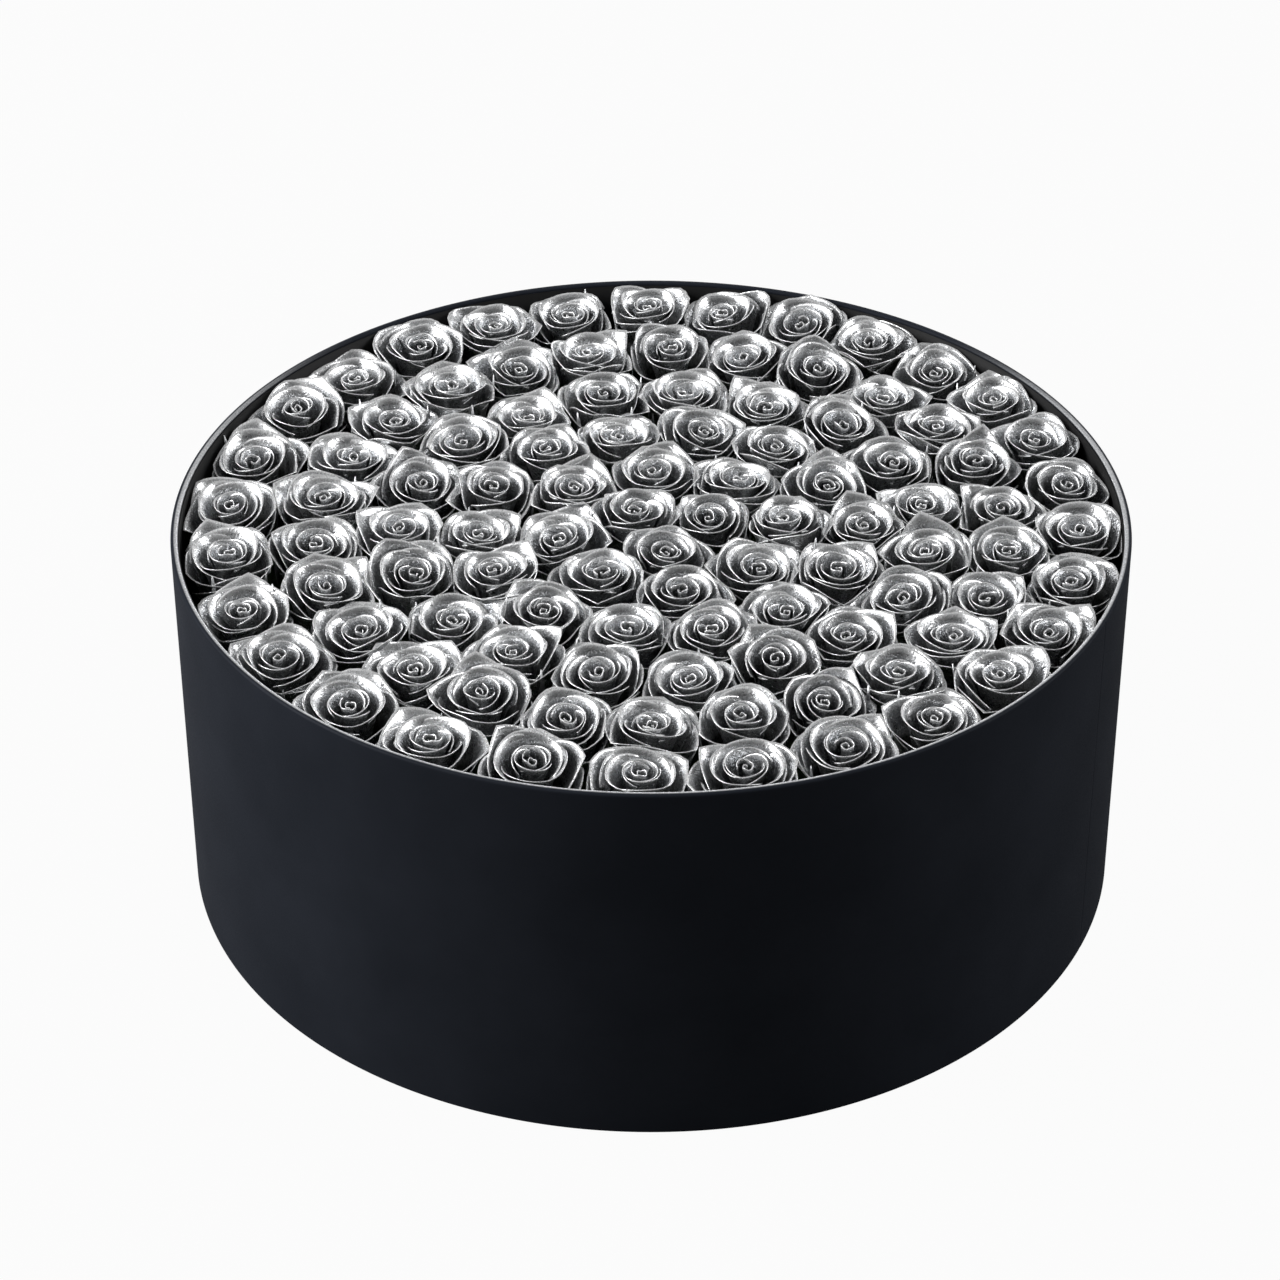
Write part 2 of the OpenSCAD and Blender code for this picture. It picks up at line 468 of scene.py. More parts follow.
def paint_grain_group() -> NodeTree:
    """Sprayed paint: fine metal flakes on a slightly uneven coat.

    Returns:
        A group with Flake, Cloud and Height outputs.
    """
    n, given = effect_group("sprayed paint grain", "Flakes per metre", 820.0)
    place, scale = given.outputs["Place"], given.outputs["Flakes per metre"]
    fine = n.noise(place, scale, 1.0)
    cloud = n.noise(place, n.maths("MULTIPLY", scale, 0.09), 3.0)
    flake, height = n.spread(fine, 0.36, 0.62), n.plus(fine, cloud, 0.05)
    return give_out(n, {"Flake": flake, "Cloud": cloud, "Height": height})


def paper_grain_group() -> NodeTree:
    """Smooth covering paper: long soft fibres and faint clouds.

    Returns:
        A group with Fibre, Cloud and Height outputs.
    """
    n, given = effect_group("paper grain", "Fibres per metre", 900.0)
    place, scale = given.outputs["Place"], given.outputs["Fibres per metre"]
    fibre = n.noise(n.stretched(place, (1.0, 1.0, 2.5)), scale, 4.0)
    cloud = n.noise(place, n.maths("MULTIPLY", scale, 0.022), 4.0)
    return give_out(n, {"Fibre": fibre, "Cloud": cloud, "Height": n.plus(fibre, cloud, 0.5)})


def fresh_material(name: str) -> tuple[Material, Nodes, Node]:
    """A material with a Principled surface and nothing else.

    Args:
        name: the finish's name.

    Returns:
        The material, a writer for its nodes and its Principled node.
    """
    material = bpy.data.materials.new(name)
    material.use_nodes = True
    material.node_tree.nodes.clear()
    n = Nodes(material.node_tree)
    surface = n.add("ShaderNodeBsdfPrincipled")
    n.add("ShaderNodeOutputMaterial", {"Surface": surface.outputs[0]})
    return material, n, surface


def grey(value: float, blue: float = 0.0) -> tuple[float, float, float, float]:
    """A grey with a little blue in it, as a colour."""
    return (value, value * (1 + blue * 0.4), value * (1 + blue), 1.0)


@dataclass(frozen=True)
class SilverPaint:
    """Silver spray paint on petals: metal flakes, thicker paint and a painted highlight along the lips.

    Attributes:
        name: the finish's name.
        dark: grey where the coat is thin.
        bright: grey where it is thick.
        rough: lowest and highest roughness.
        bump: depth of the grain, in metres.
        bare: colour of the petal where the spray didn't reach.
        veins: how often the veins repeat across and up a petal's own map.
    """

    name: str
    dark: float
    bright: float
    rough: Pair
    bump: float
    bare: tuple[float, float, float, float] = (0.055, 0.059, 0.053, 1.0)
    veins: Triple = (34.0, 2.5, 1.0)

    def make(self, grain: NodeTree) -> Material:
        """Builds the finish.

        Args:
            grain: the sprayed paint group.

        Returns:
            The material.
        """
        material, n, surface = fresh_material(self.name)
        paint = n.add("ShaderNodeGroup", node_tree=grain)
        n.feed(paint, "Place", n.place())
        flake, lip = paint.outputs["Flake"], n.own("lip")
        own_map = n.add("ShaderNodeUVMap", uv_map="own_map").outputs[0]
        vein = n.noise(n.stretched(own_map, self.veins), 1.0, 2.0)
        coat = n.plus(n.maths("MULTIPLY", flake, 0.9), vein, 0.1)
        coat = n.maths("ADD", coat, n.maths("MULTIPLY", n.own("tone"), 0.12), clamp=True)
        body = n.blend(coat, grey(self.dark, 0.03), grey(self.bright, 0.03))
        reached = n.spread(n.plus(n.own("coat"), paint.outputs["Cloud"], 0.5), 0.30, 0.95)
        body = n.blend(reached, self.bare, body)
        # Painted highlight: the lips are blended to near white, so every petal edge shows a bright line.
        n.feed(surface, "Base Color", n.blend(lip, body, grey(0.95, 0.01)))
        n.feed(surface, "Roughness", n.spread(flake, 0.0, 1.0, (self.rough[1], self.rough[0])))
        by_lip, by_coat = n.spread(lip, 0.0, 1.0, (1.0, 0.55)), n.spread(reached, 0.0, 1.0, (0.25, 1.0))
        n.feed(surface, "Metallic", n.maths("MULTIPLY", by_lip, by_coat))
        n.relief(surface, n.plus(paint.outputs["Height"], vein, 0.1), 1.0, self.bump)
        return material


@dataclass(frozen=True)
class DarkPaper:
    """Smooth dark covering paper with a low sheen.

    Attributes:
        name: the finish's name.
        low: colour between the clouds.
        high: colour of the clouds.
        edge: colour of the painted highlight and worn line along the paper's turned edges.
        rough: lowest and highest roughness.
        shine: specular level.
        bump: depth of the fibres, in metres.
    """

    name: str
    low: Triple
    high: Triple
    edge: Triple
    rough: Pair
    shine: float
    bump: float = 0.00012

    def make(self, grain: NodeTree) -> Material:
        """Builds the finish.

        Args:
            grain: the paper grain group.

        Returns:
            The material.
        """
        material, n, surface = fresh_material(self.name)
        paper = n.add("ShaderNodeGroup", node_tree=grain)
        n.feed(paper, "Place", n.place())
        fibre = paper.outputs["Fibre"]
        body = n.blend(n.spread(paper.outputs["Cloud"], *NOISE_RANGE), (*self.low, 1.0), (*self.high, 1.0))
        # The value read here makes a pale, metallic line: on the wrap's rim a painted highlight, on the
        # lining's top a worn edge.
        edge_wear_and_highlight = n.maths("MULTIPLY", n.own("fold_wear_and_highlight"), n.spread(fibre, *NOISE_RANGE, (0.55, 1.0)))
        n.feed(surface, "Base Color", n.blend(edge_wear_and_highlight, body, (*self.edge, 1.0)))
        n.feed(surface, "Metallic", n.maths("MULTIPLY", edge_wear_and_highlight, 0.75))
        dull = n.spread(fibre, *NOISE_RANGE, self.rough)
        n.feed(surface, "Roughness", n.maths("SUBTRACT", dull, n.maths("MULTIPLY", edge_wear_and_highlight, 0.2)))
        surface.inputs["Specular IOR Level"].default_value = self.shine
        n.relief(surface, paper.outputs["Height"], 0.25, self.bump)
        return material


@dataclass(frozen=True)
class Fibrous:
    """A dull material of two mixed colours: board, foam, stem or moulded plastic.

    Attributes:
        name: the finish's name.
        low: first colour.
        high: second colour.
        scale: features per metre.
        stretch: how much longer the pattern is along Z.
        rough: lowest and highest roughness.
        bump: depth of the relief, in metres.
        pitted: True for open cells in place of soft noise.
        shine: specular level.
        sprayed: True where a "coat" value says how much silver paint lies on it.
    """

    name: str
    low: Triple
    high: Triple
    scale: float
    stretch: float
    rough: Pair
    bump: float
    pitted: bool = False
    shine: float = 0.3
    sprayed: bool = False

    def make(self) -> Material:
        """Builds the finish and returns it."""
        material, n, surface = fresh_material(self.name)
        long = n.stretched(n.place(), (1.0, 1.0, 1.0 / self.stretch))
        if self.pitted:
            cells = n.add("ShaderNodeTexVoronoi", {"Vector": long, "Scale": self.scale}).outputs["Distance"]
            pattern = n.plus(n.maths("MULTIPLY", cells, 0.8), n.noise(long, self.scale * 0.4), 0.3)
        else:
            pattern = n.noise(long, self.scale, 5.0)
        colour = n.blend(n.spread(pattern, *NOISE_RANGE), (*self.low, 1.0), (*self.high, 1.0))
        if self.sprayed:
            ragged = n.spread(n.plus(n.own("coat"), pattern, 0.4), 0.4, 0.9)
            colour = n.blend(ragged, colour, grey(0.7, 0.03))
            n.feed(surface, "Metallic", ragged)
        n.feed(surface, "Base Color", colour)
        n.feed(surface, "Roughness", n.spread(pattern, *NOISE_RANGE, self.rough))
        surface.inputs["Specular IOR Level"].default_value = self.shine
        n.relief(surface, pattern, 0.6, self.bump)
        return material


@dataclass
class Finishes:
    """Every finish of the part, each made once."""

    petal: Material = field(init=False)
    heart: Material = field(init=False)
    wrap: Material = field(init=False)
    lining: Material = field(init=False)
    board: Material = field(init=False)
    tub: Material = field(init=False)
    foam: Material = field(init=False)
    stem: Material = field(init=False)
    calyx: Material = field(init=False)

    def __post_init__(self) -> None:
        """Builds the shared effects and the finishes."""
        spray, paper = paint_grain_group(), paper_grain_group()
        self.petal = SilverPaint("silver petal", 0.39, 0.96, (0.24, 0.42), 0.00016).make(spray)
        self.heart = SilverPaint("silver heart", 0.37, 0.94, (0.24, 0.42), 0.00016).make(spray)
        # The wrap's near-white edge colour is the painted highlight along the rim's inner edge.
        self.wrap = DarkPaper(
            "dark wrap paper", (0.0145, 0.0170, 0.0230), (0.0195, 0.0225, 0.0300), (0.85, 0.86, 0.88),
            (0.44, 0.56), 0.05,
        ).make(paper)
        self.lining = DarkPaper(
            "black lining paper", (0.004, 0.004, 0.005), (0.007, 0.007, 0.008), (0.02, 0.02, 0.02),
            (0.6, 0.75), 0.15,
        ).make(paper)
        self.board = Fibrous(
            "grey board", (0.20, 0.19, 0.17), (0.32, 0.31, 0.28), 900.0, 3.0, (0.8, 0.95), 0.0001
        ).make()
        self.tub = Fibrous(
            "black moulded tub", (0.006, 0.006, 0.007), (0.012, 0.012, 0.013), 1600.0, 1.0, (0.34, 0.5), 0.00004
        ).make()
        self.foam = Fibrous(
            "dry floral foam", (0.035, 0.055, 0.03), (0.10, 0.14, 0.075), 1400.0, 1.0, (0.85, 1.0), 0.0004,
            pitted=True, shine=0.1,
        ).make()
        self.stem = Fibrous(
            "rose stem", (0.05, 0.09, 0.03), (0.13, 0.17, 0.07), 320.0, 8.0, (0.5, 0.7), 0.0002
        ).make()
        self.calyx = Fibrous(
            "green calyx", (0.05, 0.08, 0.03), (0.13, 0.17, 0.09), 700.0, 3.0, (0.4, 0.6), 0.0002, sprayed=True
        ).make()


# ---------------------------------------------------------------------------
# Roses
# ---------------------------------------------------------------------------


NEIGHBOURS = 9  # how many of the nearest roses press on a head
OUTLINE_POWER = 6.5  # how sharply a head's outline turns from one neighbour to the next
LEAST_COSINE = 0.12  # keeps a neighbour to the side from having any say
FREE_REACH = 1.3  # how far a head opens with nothing in its way, in its own radii
OVERLAP = 1.06  # how far the lips reach past the line half way to a neighbour


@dataclass
class RoseCharacter:
    """What makes each rose different from the next.

    Attributes:
        turn: direction of its first petal.
        hand: 1 or -1, the way its petals wind.
        open: -1 for a tight rose to 1 for an open one.
        lean: (n, 2) tilt of the head, as slopes.
        drift: (n, 2) how far the heart sits off centre, in head radii.
        squeeze: depth of the oval of the heart.
    """

    turn: Array
    hand: Array
    open: Array
    lean: Array
    drift: Array
    squeeze: Array

    @classmethod
    def drawn(cls, count: int, seed: int) -> "RoseCharacter":
        """Draws the characters of count roses.

        Args:
            count: how many roses.
            seed: start of the random row.

        Returns:
            The characters.
        """
        draw = np.random.RandomState(seed)
        return cls(
            turn=draw.uniform(0, 2 * np.pi, count),
            hand=np.where(draw.rand(count) < 0.5, -1.0, 1.0),
            open=draw.uniform(-1, 1, count),
            lean=draw.normal(0, 0.06, (count, 2)).clip(-0.13, 0.13) + np.array(FACING),
            drift=draw.normal(0, 0.08, (count, 2)).clip(-0.15, 0.15),
            squeeze=draw.uniform(0.0, 0.22, count),
        )


@dataclass
class RoseBed:
    """Where every rose stands, how big it is and how its neighbours press on it.

    Attributes:
        ring: which ring each rose is in.
        centre: (n, 2).
        radius: (n,) of the head.
        foot: (n,) height of the foot of the head.
        height: (n,) of the head.
        stem_foot: (n,) height of the lower end of the stem.
        wall: radius of the room inside the box.
        seed: start of the random row of the roses' characters.
        who: those characters.
        near_turn: (n, near) direction of each rose's nearest neighbours.
        near_half: (n, near) distance to where a rose's room ends and the neighbour's begins.
    """

    ring: Array
    centre: Array
    radius: Array
    foot: Array
    height: Array
    stem_foot: Array
    wall: float
    seed: int = 11
    who: RoseCharacter = field(init=False)
    near_turn: Array = field(init=False)
    near_half: Array = field(init=False)

    def __post_init__(self) -> None:
        """Draws the characters, and finds the neighbours and how far each rose reaches towards them."""
        self.who = RoseCharacter.drawn(len(self.radius), self.seed)
        apart = self.centre[None] - self.centre[:, None]
        gap = np.hypot(apart[..., 0], apart[..., 1])
        np.fill_diagonal(gap, np.inf)
        nearest = np.argsort(gap, axis=1)[:, :NEIGHBOURS]
        rows = np.arange(len(gap))[:, None]
        d = gap[rows, nearest]
        self.near_turn = np.arctan2(apart[rows, nearest, 1], apart[rows, nearest, 0])
        own, other = self.radius[:, None], self.radius[nearest]
        self.near_half = (d**2 + own**2 - other**2) / (2 * d)

    @classmethod
    def from_frame(cls, nodes: dict[str, Object], wall: float) -> "RoseBed":
        """Reads the roses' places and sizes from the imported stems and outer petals.

        The heads behind the middle are raised by the square of their share of the way to the back.

        Args:
            nodes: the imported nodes.
            wall: radius of the room inside the box.

        Returns:
            The bed.
        """
        found: list[tuple[int, Array, float, float, float, float]] = []
        for number, ring in enumerate(Ring):
            stems = node_points(nodes[f"{ring.value}_ring_stems"])
            heads = node_points(nodes[f"{ring.value}_ring_outer_petals"])
            centres = cluster_centres(stems[:, :2], 6 * MM)
            owner = np.argmin(np.hypot(*(heads[:, None, :2] - centres[None]).transpose(2, 0, 1)), axis=1)
            for i, middle in enumerate(centres):
                own = heads[owner == i]
                reach = np.hypot(*(own[:, :2] - middle).T).max()
                low, high = own[:, 2].min(), own[:, 2].max()
                found.append((number, middle, reach, low, high - low, stems[:, 2].min()))
        rings, centres, reaches, feet, heights, stem_feet = [np.array(c) for c in zip(*found)]
        feet = feet + BACK_RISE * np.clip(centres[:, 1] / wall, 0, 1) ** 2
        return cls(rings, centres, reaches, feet, heights, stem_feet, wall)

    def outline(self, rose: Array, turn: Array) -> Array:
        """How far a rose's own room reaches in a direction, from its centre.

        The half distance to each neighbour, divided by the cosine of the angle to it, the distance to
        the wall and the head's free reach are combined as a soft minimum (a power mean of a negative
        order). The lips then reach a little past it.

        Args:
            rose: numbers of the roses, of a shape that fits turn.
            turn: directions in radians.

        Returns:
            Distances in metres, in turn's shape.
        """
        cosine = np.cos(turn[..., None] - self.near_turn[rose])
        sides = self.near_half[rose] / np.maximum(cosine, LEAST_COSINE)
        x, y = self.centre[rose, 0], self.centre[rose, 1]
        along = x * np.cos(turn) + y * np.sin(turn)
        to_wall = -along + np.sqrt(np.maximum(along**2 - x**2 - y**2 + self.wall**2, 0))
        free = FREE_REACH * self.radius[rose] * np.ones_like(turn)
        every = np.concatenate([sides, to_wall[..., None], free[..., None]], axis=-1)
        return OVERLAP * (every**-OUTLINE_POWER).sum(axis=-1) ** (-1 / OUTLINE_POWER)


def node_points(node: Object) -> Array:
    """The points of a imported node, as (n, 3)."""
    out = np.empty(len(node.data.vertices) * 3)
    node.data.vertices.foreach_get("co", out)
    return out.reshape(-1, 3)


def cluster_centres(flat: Array, reach: float) -> Array:
    """Middles of groups of points that lie within reach of each other.

    Args:
        flat: (n, 2) points.
        reach: largest distance inside a group.

    Returns:
        (groups, 2) middles, ordered by direction from the origin.
    """
    left = np.ones(len(flat), dtype=bool)
    middles = []
    while left.any():
        near = left & (np.hypot(*(flat - flat[left][0]).T) < reach)
        middles.append((flat[near].min(axis=0) + flat[near].max(axis=0)) / 2)
        left &= ~near
    found = np.array(middles)
    return found[np.argsort(np.arctan2(found[:, 1], found[:, 0]))]


OPENING = 0.11  # how much further out the lips of a fully open rose stand, in head radii
FOOT_WIDTH = 0.55  # width of a petal's foot, as a share of its lip's
LIP_FALL = 2.4  # power by which a lip falls to its sides
TIP_WIDTH = 0.32  # how soon the drawn-out tip fades to the sides
TIP_LEVEL = 0.25  # how far the sides draw back from the tip
WAVES = 3.1  # waves of the lip in half a petal's width, in radians
# LIP_BEGINS marks where the painted edge highlight begins.
LIP_BEGINS = 0.93  # where the bright edge begins, as a share of the way to it


@dataclass(frozen=True)
class PetalChance:
    """How far chance moves a petal either way.

    Attributes:
        turn: its middle, in radians.
        width: its width, as a share.
        reach: the lip's radius, in head radii, with no pressing.
        pressed: what pressing adds to that.
        top: the lip's height, as a share of the head's.
        fall: the fall to its sides, as a share.
        wave: where the lip's waves lie, in radians.
        tip: the drawn-out tip, as a share of the most it can be.
        turned: how far the tip turns up or down, as a share of its length.
    """

    turn: float = 0.2
    width: float = 0.10
    reach: float = 0.012
    pressed: float = 0.045
    top: float = 0.018
    fall: float = 0.4
    wave: float = 3.0
    tip: float = 0.45
    turned: float = 0.4


@dataclass(frozen=True)
class PetalLayer:
    """Shape of one layer of petals, in shares of the head's radius and height.

    Attributes:
        layer: which layer it is.
        count: petals in each rose.
        spacing: angle from one petal to the next, in radians.
        half_width: half the angle that a petal spans, in radians.
        reach: radius of the first and the last petal's lip.
        top: height of the first and the last petal's lip.
        guide: the petal's upright curve, four points of radius (share of the lip's) and height.
        pressed: how far the lip follows the room between the neighbours.
        side_drop: how much lower the lip is at the petal's sides.
        tip: how far the middle of the lip is drawn out.
        ripple: height of the lip's waves.
        spiral: how much further out one side of a petal is than the other.
        thick: thickness in metres, at the foot and at the lip.
        across: points across a petal.
        up: heights of the rows of points, from foot to lip.
        seed: start of the random row.
        chance: how far chance moves each petal.
    """

    layer: Layer
    count: int
    spacing: float
    half_width: float
    reach: Pair
    top: Pair
    guide: tuple[Pair, ...]
    pressed: float
    side_drop: float
    tip: float
    ripple: float
    spiral: float
    thick: Pair
    across: int
    up: tuple[float, ...]
    seed: int
    chance: PetalChance = PetalChance()

    def surface(self, bed: RoseBed, roses: Array) -> Surface:
        """Builds this layer's petals of some roses.

        A point of a petal lies at angle = middle + half width x u, at a radius and height taken from
        the upright curve at v. The lip's radius is the rose's pressed outline times the petal's reach,
        and its height falls towards the sides with a power of u. Waves, a drawn-out tip, the
        winding of the petals and the tilt of the head are then added.

        Args:
            bed: the roses' places, sizes and characters.
            roses: numbers of the roses.

        Returns:
            The petals as closed thin sheets.
        """
        draw, by = np.random.RandomState(self.seed), self.chance
        rough = draw.uniform(-1, 1, (len(bed.radius), self.count, 8))[roses].reshape(-1, 8)
        rose = np.repeat(roses, self.count)
        order = np.tile(np.arange(self.count), len(roses))
        step = order / max(self.count - 1, 1)
        rough = rough[:, :, None, None]
        hand = bed.who.hand[rose]
        middle = bed.who.turn[rose] + hand * (order * self.spacing + by.turn * rough[:, 0, 0, 0]) + self.seed

        u = np.linspace(-1, 1, self.across)
        v = np.array(self.up)
        grid_u = u[None, :, None]
        grid_v = v[None, None, :]
        width = self.half_width * (1 + by.width * rough[:, 1])
        turn = middle[:, None, None] + width * grid_u * (FOOT_WIDTH + (1 - FOOT_WIDTH) * np.sqrt(grid_v))

        reach = self.reach[0] + (self.reach[1] - self.reach[0]) * step
        reach = reach + OPENING * bed.who.open[rose] * (1 - self.pressed)
        reach = reach[:, None, None] + (by.reach + by.pressed * self.pressed) * rough[:, 2]
        top = self.top[0] + (self.top[1] - self.top[0]) * step
        top = top[:, None, None] + by.top * rough[:, 3]
        head = bed.radius[rose][:, None, None]
        size = (len(rose), self.across, len(v))
        room = bed.outline(np.broadcast_to(rose[:, None, None], size), np.broadcast_to(turn, size))
        lip_radius = reach * (head + self.pressed * (room - head))
        lip_radius = lip_radius * (1 + self.spiral * hand[:, None, None] * grid_u)

        guide = np.array(self.guide)
        curve = bezier(guide, v)
        out = curve[:, 0][None, None, :]
        rise = curve[:, 1][None, None, :] / guide[3, 1]
        low = guide[0, 1] / guide[3, 1]
        lip_top = top - self.side_drop * (1 + by.fall * rough[:, 4]) * np.abs(grid_u) ** LIP_FALL
        wave = self.ripple * np.sin(WAVES * grid_u + by.wave * rough[:, 5] + 1.3) * grid_v**3
        drawn_out = np.exp(-np.abs(grid_u) / TIP_WIDTH) - TIP_LEVEL
        tip = self.tip * (1 - by.tip + by.tip * rough[:, 6]) * drawn_out * grid_v**3
        radius = lip_radius * (out + tip)
        share = (rise - low) / (1 - low)
        tall = guide[0, 1] + (lip_top - guide[0, 1]) * share + wave + by.turned * tip * rough[:, 3]
        height = bed.height[rose][:, None, None]

        drift = bed.who.drift[rose] * bed.radius[rose][:, None]
        inward = np.clip(1.0 - reach, 0, 1)
        local = round_points(radius, turn, tall * height)
        local[..., :2] += drift[:, None, None, :] * inward[..., None]

        thick = self.thick[0] + (self.thick[1] - self.thick[0]) * grid_v
        # lip: where the painted edge highlight lies, along the top and up the sides of each petal.
        sides = step_up(np.abs(grid_u), LIP_BEGINS, 1.0) * step_up(grid_v, 0.4, 0.8)
        lip = np.maximum(step_up(grid_v, LIP_BEGINS, 1.0), sides * 0.7)
        values = {"lip": lip, "tone": rough[:, 7], "coat": step_up(tall, *SPRAY_REACH)}
        uv = (grid_u + 3.7 * rough[:, 0], grid_v + 2.9 * rough[:, 1])
        return shell(tilted(bed, rose, local), thick, values, uv)


def tilted(bed: RoseBed, rose: Array, local: Array) -> Array:
    """Leans each head about a point near its lips and sets it in its place inside the wall.

    The lean is a small turn: height changes by slope times the level offset, and the level offset
    by slope times the height above the turning point. Points past the wall are drawn in to it.

    Args:
        bed: the roses' places, sizes and characters.
        rose: (pieces,) number of the rose of each piece.
        local: (pieces, across, up, 3) places from the foot of the head.

    Returns:
        The places in the box, in the same shape.
    """
    lean = bed.who.lean[rose][:, None, None, :]
    above = local[..., 2] - LEAN_POINT * bed.height[rose][:, None, None]
    x = local[..., 0] + lean[..., 0] * above
    y = local[..., 1] + lean[..., 1] * above
    z = local[..., 2] - lean[..., 0] * local[..., 0] - lean[..., 1] * local[..., 1]
    x = x + bed.centre[rose, 0][:, None, None]
    y = y + bed.centre[rose, 1][:, None, None]
    z = z + bed.foot[rose][:, None, None]
    out = np.hypot(x, y)
    draw_in = np.minimum(1.0, bed.wall / np.maximum(out, 1e-9))
    return np.stack([x * draw_in, y * draw_in, z], axis=-1)


@dataclass(frozen=True)
class HeartStrip:
    """The furled heart of a rose: one narrow petal wound into a tight spiral.

    Attributes:
        turns: how many times it winds round.
        reach: radius at its outer and its inner end, in head radii.
        foot: height of its lower edge, as a share of the head's height.
        top: height of its upper edge, at the outer and the inner end.
        flare: how far the upper edge leans outwards, as a share.
        wave: height of the upper edge's waves and of its chance moves.
        follow: how far the heart follows the drift of its rose.
        thick: thickness in metres.
        across: points along the strip.
        up: heights of the rows.
        seed: start of the random row.
    """

    turns: float = 1.4
    reach: Pair = (0.215, 0.05)
    foot: float = 0.5
    top: Pair = (1.0, 0.945)
    flare: float = 0.10
    wave: float = 0.012
    follow: float = 0.8
    thick: float = 0.32 * MM
    across: int = 40
    up: tuple[float, ...] = (0.0, 0.5, 0.85, 0.97, 1.0)
    seed: int = 41

    def surface(self, bed: RoseBed, roses: Array) -> Surface:
        """Builds the hearts of some roses.

        Along the strip the angle grows evenly and the radius shrinks, times an oval of two lobes, and
        the upper edge leans outwards a little and waves.

        Args:
            bed: the roses' places, sizes and characters.
            roses: numbers of the roses.

        Returns:
            The hearts as closed thin sheets.
        """
        draw = np.random.RandomState(self.seed)
        rough = draw.uniform(-1, 1, (len(bed.radius), 6))[roses][:, :, None, None]
        t = np.linspace(0, 1, self.across)[None, :, None]
        v = np.array(self.up)[None, None, :]
        hand = bed.who.hand[roses][:, None, None]
        turns = self.turns * (1 + 0.2 * rough[:, 0])
        wind = np.where(hand > 0, t, 1 - t)
        angle = bed.who.turn[roses][:, None, None] + 2 * np.pi * turns * t + rough[:, 1]
        away = self.reach[0] + (self.reach[1] - self.reach[0]) * wind**0.8
        away = away * (1 + 0.08 * bed.who.open[roses][:, None, None])
        oval = 1 + bed.who.squeeze[roses][:, None, None] * np.cos(2 * angle + 3 * rough[:, 2])
        lean = 1 + self.flare * v**3
        radius = bed.radius[roses][:, None, None] * away * oval * lean
        top = self.top[0] + (self.top[1] - self.top[0]) * wind + self.wave * rough[:, 3]
        top = top + self.wave * np.sin(3 * angle + 4 * rough[:, 4])
        tall = (self.foot + (top - self.foot) * v) * bed.height[roses][:, None, None]
        drift = (bed.who.drift[roses] * bed.radius[roses][:, None])[:, None, None, :]
        local = round_points(radius, angle, tall)
        local[..., :2] += drift * self.follow
        # lip: the painted edge highlight along the heart's upper edge.
        values = {"lip": step_up(v, 0.9, 1.0), "tone": rough[:, 5], "coat": 0.45 + 0.4 * v}
        return shell(tilted(bed, roses, local), self.thick, values, (t * 6 + rough[:, 1], v))


@dataclass(frozen=True)
class Calyx:
    """The green cup under a head: a round hip with five sepals that lie against the petals.

    Attributes:
        hip: the hip's outline, radius and height from the foot of the head, in millimetres.
        sides: points round the hip.
        sepals: how many sepals.
        leaf: a sepal's upright curve, four points of radius and height, as shares of the head's.
        thick: thickness of a sepal.
        seed: start of the random row.
    """

    hip: tuple[Pair, ...] = (
        (2.3, -9.0), (3.6, -8.4), (4.9, -6.8), (5.4, -4.6), (5.2, -2.4), (5.6, -0.8), (6.4, 0.4), (4.0, 0.6)
    )
    sides: int = 12
    sepals: int = 5
    leaf: tuple[Pair, ...] = ((0.26, -0.06), (0.78, -0.04), (1.08, 0.20), (1.08, 0.80))
    thick: float = 0.45 * MM
    seed: int = 53

    def surface(self, bed: RoseBed, roses: Array) -> Surface:
        """Builds the calyxes of some roses.

        The hip is its outline turned round the stem. Each sepal is a pointed leaf: its width narrows
        with v as (1 - v) to the power 1.3, and its upright curve follows the underside of the head.

        Args:
            bed: the roses' places, sizes and characters.
            roses: numbers of the roses.

        Returns:
            The calyxes.
        """
        return joined([self.hip_surface(bed, roses), self.sepal_surface(bed, roses)])

    def hip_surface(self, bed: RoseBed, roses: Array) -> Surface:
        """The hips of some roses: each is its outline turned round the stem.

        Args:
            bed: the roses' places, sizes and characters.
            roses: numbers of the roses.

        Returns:
            The hips.
        """
        outline = np.array(self.hip) * MM
        angle = np.linspace(0, 2 * np.pi, self.sides, endpoint=False)
        local = round_points(outline[:, None, 0], angle, outline[:, None, 1])
        local = np.broadcast_to(local, (len(roses), *local.shape))
        surface = capped_tubes(tilted(bed, roses, local))
        surface.values["coat"] = np.zeros(len(surface.points))
        surface.uv = np.zeros((len(surface.points), 2))
        return surface

    def sepal_surface(self, bed: RoseBed, roses: Array) -> Surface:
        """The sepals of some roses as closed thin leaves.

        Args:
            bed: the roses' places, sizes and characters.
            roses: numbers of the roses.

        Returns:
            The sepals.
        """
        draw = np.random.RandomState(self.seed)
        rough = draw.uniform(-1, 1, (len(bed.radius), self.sepals, 4))[roses]
        rough = rough.reshape(-1, 4)[:, :, None, None]
        rose = np.repeat(roses, self.sepals)
        order = np.tile(np.arange(self.sepals), len(roses))
        u = np.linspace(-1, 1, 5)[None, :, None]
        v = np.linspace(0, 1, 9)
        middle = bed.who.turn[rose] + order * 2 * np.pi / self.sepals
        width = (0.55 * (1 - v) ** 1.3 + 0.035 * (1 - v**4) + 0.008)[None, None, :]
        angle = middle[:, None, None] + width * u + 0.1 * rough[:, 0]
        curve = bezier(np.array(self.leaf), v)
        radius = curve[:, 0][None, None, :] * bed.radius[rose][:, None, None] * (1 + 0.03 * rough[:, 1])
        curl = 0.10 * np.clip(rough[:, 3], 0, 1) * (v**6)[None, None, :]
        radius = radius + curl * bed.radius[rose][:, None, None]
        rise = curve[:, 1][None, None, :] * (1 + 0.3 * rough[:, 2])
        tall = rise * bed.height[rose][:, None, None]
        points = tilted(bed, rose, round_points(radius, angle, tall))
        return shell(points, self.thick, {"coat": step_up(rise, 0.15, 0.55)}, (u, v))


